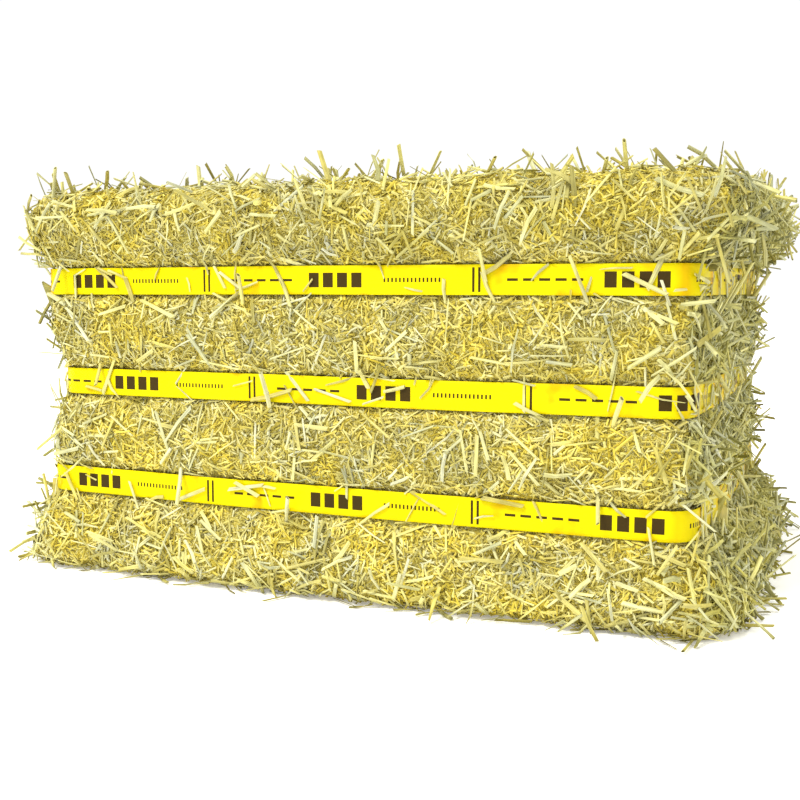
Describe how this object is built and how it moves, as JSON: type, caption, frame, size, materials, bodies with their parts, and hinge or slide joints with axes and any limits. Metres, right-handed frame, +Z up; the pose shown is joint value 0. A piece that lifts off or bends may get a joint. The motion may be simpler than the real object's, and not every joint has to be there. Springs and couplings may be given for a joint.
{
  "type": "square straw bale",
  "caption": "Compressed block of chopped cereal straw held by flat plastic straps, with loose stalks standing out of it.",
  "frame": {"origin": "centre of the flat underside", "axes": "+Z up, +X along the long side, -Y out of the front long face"},
  "size_m": [0.7353, 0.568, 0.393],
  "materials": {
    "straw": "matt dry chopped straw, pale gold to olive",
    "stalk": "satin dry straw stem, pale cream yellow",
    "strap": "smooth bright yellow plastic strapping with a plain dark printed pattern"
  },
  "bodies": {
    "root": {"stalk_01": "stalk", "stalk_02": "stalk", "stalk_03": "stalk", "stalk_04": "stalk", "stalk_05": "stalk", "stalk_06": "stalk", "stalk_07": "stalk", "stalk_08": "stalk", "stalk_09": "stalk", "stalk_10": "stalk", "stalk_11": "stalk", "stalk_12": "stalk", "stalk_13": "stalk", "stalk_14": "stalk", "stalk_15": "stalk", "stalk_16": "stalk", "stalk_17": "stalk", "stalk_18": "stalk", "stalk_19": "stalk", "stalk_20": "stalk", "stalk_21": "stalk", "stalk_22": "stalk", "stalk_23": "stalk", "stalk_24": "stalk", "stalk_25": "stalk", "stalk_26": "stalk", "stalk_27": "stalk", "stalk_28": "stalk", "stalk_29": "stalk", "stalk_30": "stalk", "stalk_31": "stalk", "stalk_32": "stalk", "stalk_33": "stalk", "stalk_34": "stalk", "stalk_35": "stalk", "stalk_36": "stalk", "stalk_37": "stalk", "stalk_38": "stalk", "stalk_39": "stalk", "stalk_40": "stalk", "stalk_41": "stalk", "stalk_42": "stalk", "strap_bottom": "strap", "strap_middle": "strap", "strap_top": "strap", "straw": "straw"}
  },
  "joints": []
}
